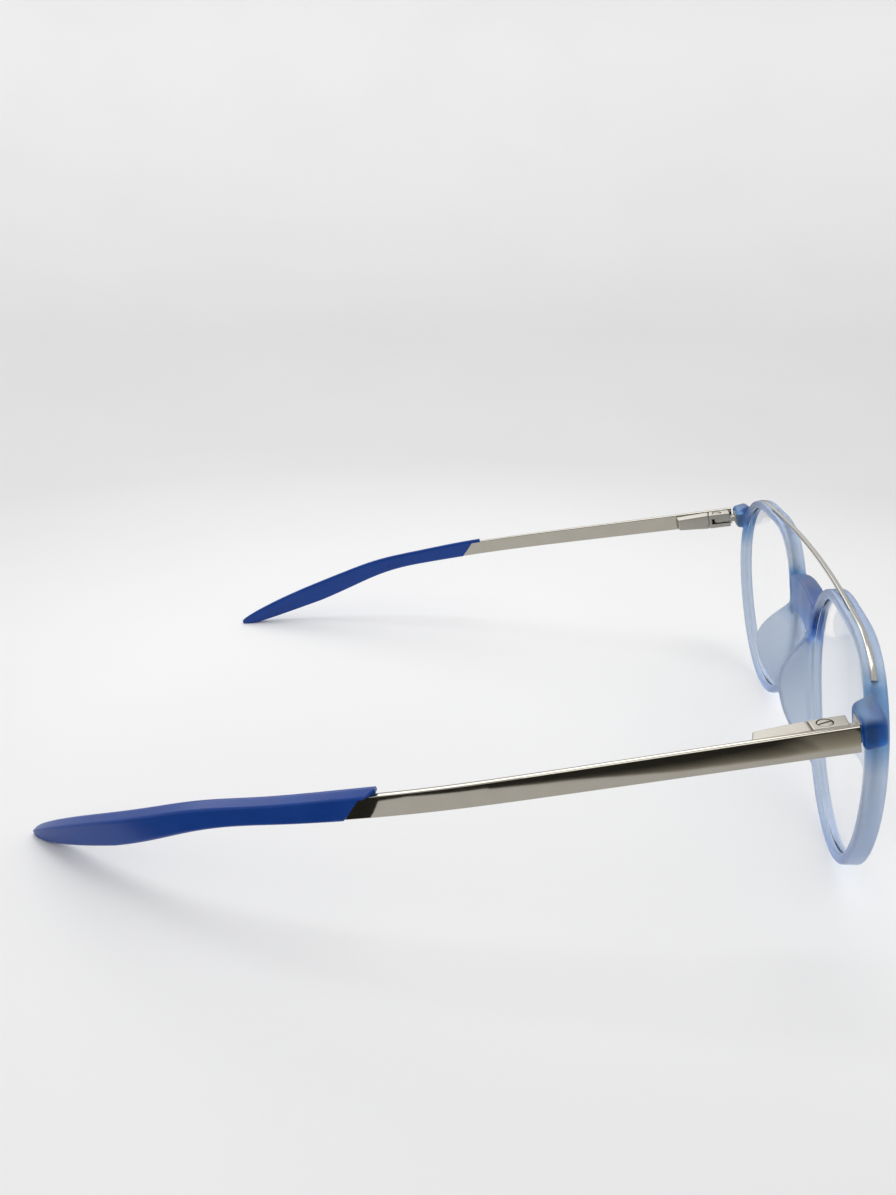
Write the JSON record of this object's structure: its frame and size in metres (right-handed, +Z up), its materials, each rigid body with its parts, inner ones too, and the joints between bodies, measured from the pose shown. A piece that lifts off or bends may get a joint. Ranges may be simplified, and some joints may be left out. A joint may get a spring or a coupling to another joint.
{
  "type": "eyeglasses",
  "caption": "Full-rim eyeglasses with a moulded translucent front, a metal brow bar, clear lenses, and metal temples on spring hinges that fold in and flex outwards.",
  "frame": {"origin": "on the table, at the centre of the glasses' outline seen from above, in the plane of symmetry", "axes": "+X to the wearer's left, -Y the way the wearer looks, temples running to +Y, +Z up from the table"},
  "size_m": [0.1402, 0.1511, 0.047],
  "materials": {
    "frosted_blue": "frosted translucent moulding",
    "satin_nickel": "satin, fine grain along the strip",
    "spring_steel": "plain drawn wire and turned bushes",
    "matt_blue": "matt injection moulding",
    "clear_lens": "clear, polished"
  },
  "bodies": {
    "front": {"front_frame": "frosted_blue", "brow_bar": "satin_nickel", "lens_right": "clear_lens", "lens_left": "clear_lens", "hinge_leaf_right": "satin_nickel", "hinge_leaf_left": "satin_nickel"},
    "screw_right": {"hinge_screw_right": "satin_nickel"},
    "slider_right": {"hinge_slider_right": "satin_nickel", "spring_stop_right": "spring_steel"},
    "temple_right": {"spring_housing_right": "satin_nickel", "spring_collar_right": "spring_steel", "hinge_spring_right": "spring_steel", "temple_arm_right": "satin_nickel", "temple_tip_right": "matt_blue"},
    "screw_left": {"hinge_screw_left": "satin_nickel"},
    "slider_left": {"hinge_slider_left": "satin_nickel", "spring_stop_left": "spring_steel"},
    "temple_left": {"spring_housing_left": "satin_nickel", "spring_collar_left": "spring_steel", "hinge_spring_left": "spring_steel", "temple_arm_left": "satin_nickel", "temple_tip_left": "matt_blue"}
  },
  "joints": [
    {"name": "flex_right", "type": "hinge", "parent": "front", "child": "screw_right", "pos_m": [-0.06055, -0.06085, 0.03623], "axis": [0, 0.1987, 0.9801], "range_deg": [0, 10], "stiffness_Nm_per_rad": 0.4, "springref_deg": -5.73},
    {"name": "fold_right", "type": "hinge", "parent": "screw_right", "child": "slider_right", "pos_m": [-0.06055, -0.06085, 0.03623], "axis": [0, -0.1987, -0.9801], "range_deg": [0, 75]},
    {"name": "travel_right", "type": "slide", "parent": "slider_right", "child": "temple_right", "axis": [-0.1038, 0.9748, -0.1976], "range_m": [0, 0.0007], "deforming": ["hinge_spring_right"]},
    {"name": "flex_left", "type": "hinge", "parent": "front", "child": "screw_left", "pos_m": [0.06055, -0.06085, 0.03623], "axis": [0.078, -0.2061, -0.9754], "range_deg": [0, 10], "stiffness_Nm_per_rad": 0.4, "springref_deg": -5.73},
    {"name": "fold_left", "type": "hinge", "parent": "screw_left", "child": "slider_left", "pos_m": [0.06055, -0.06085, 0.03623], "axis": [-0.078, 0.2061, 0.9754], "range_deg": [0, 87]},
    {"name": "travel_left", "type": "slide", "parent": "slider_left", "child": "temple_left", "axis": [0.1038, 0.9748, -0.1976], "range_m": [0, 0.0007], "deforming": ["hinge_spring_left"]}
  ],
  "couplings": [
    {"joint": "travel_right", "follows": "flex_right", "m_per_rad": 0.0034},
    {"joint": "travel_left", "follows": "flex_left", "m_per_rad": 0.0034}
  ]
}
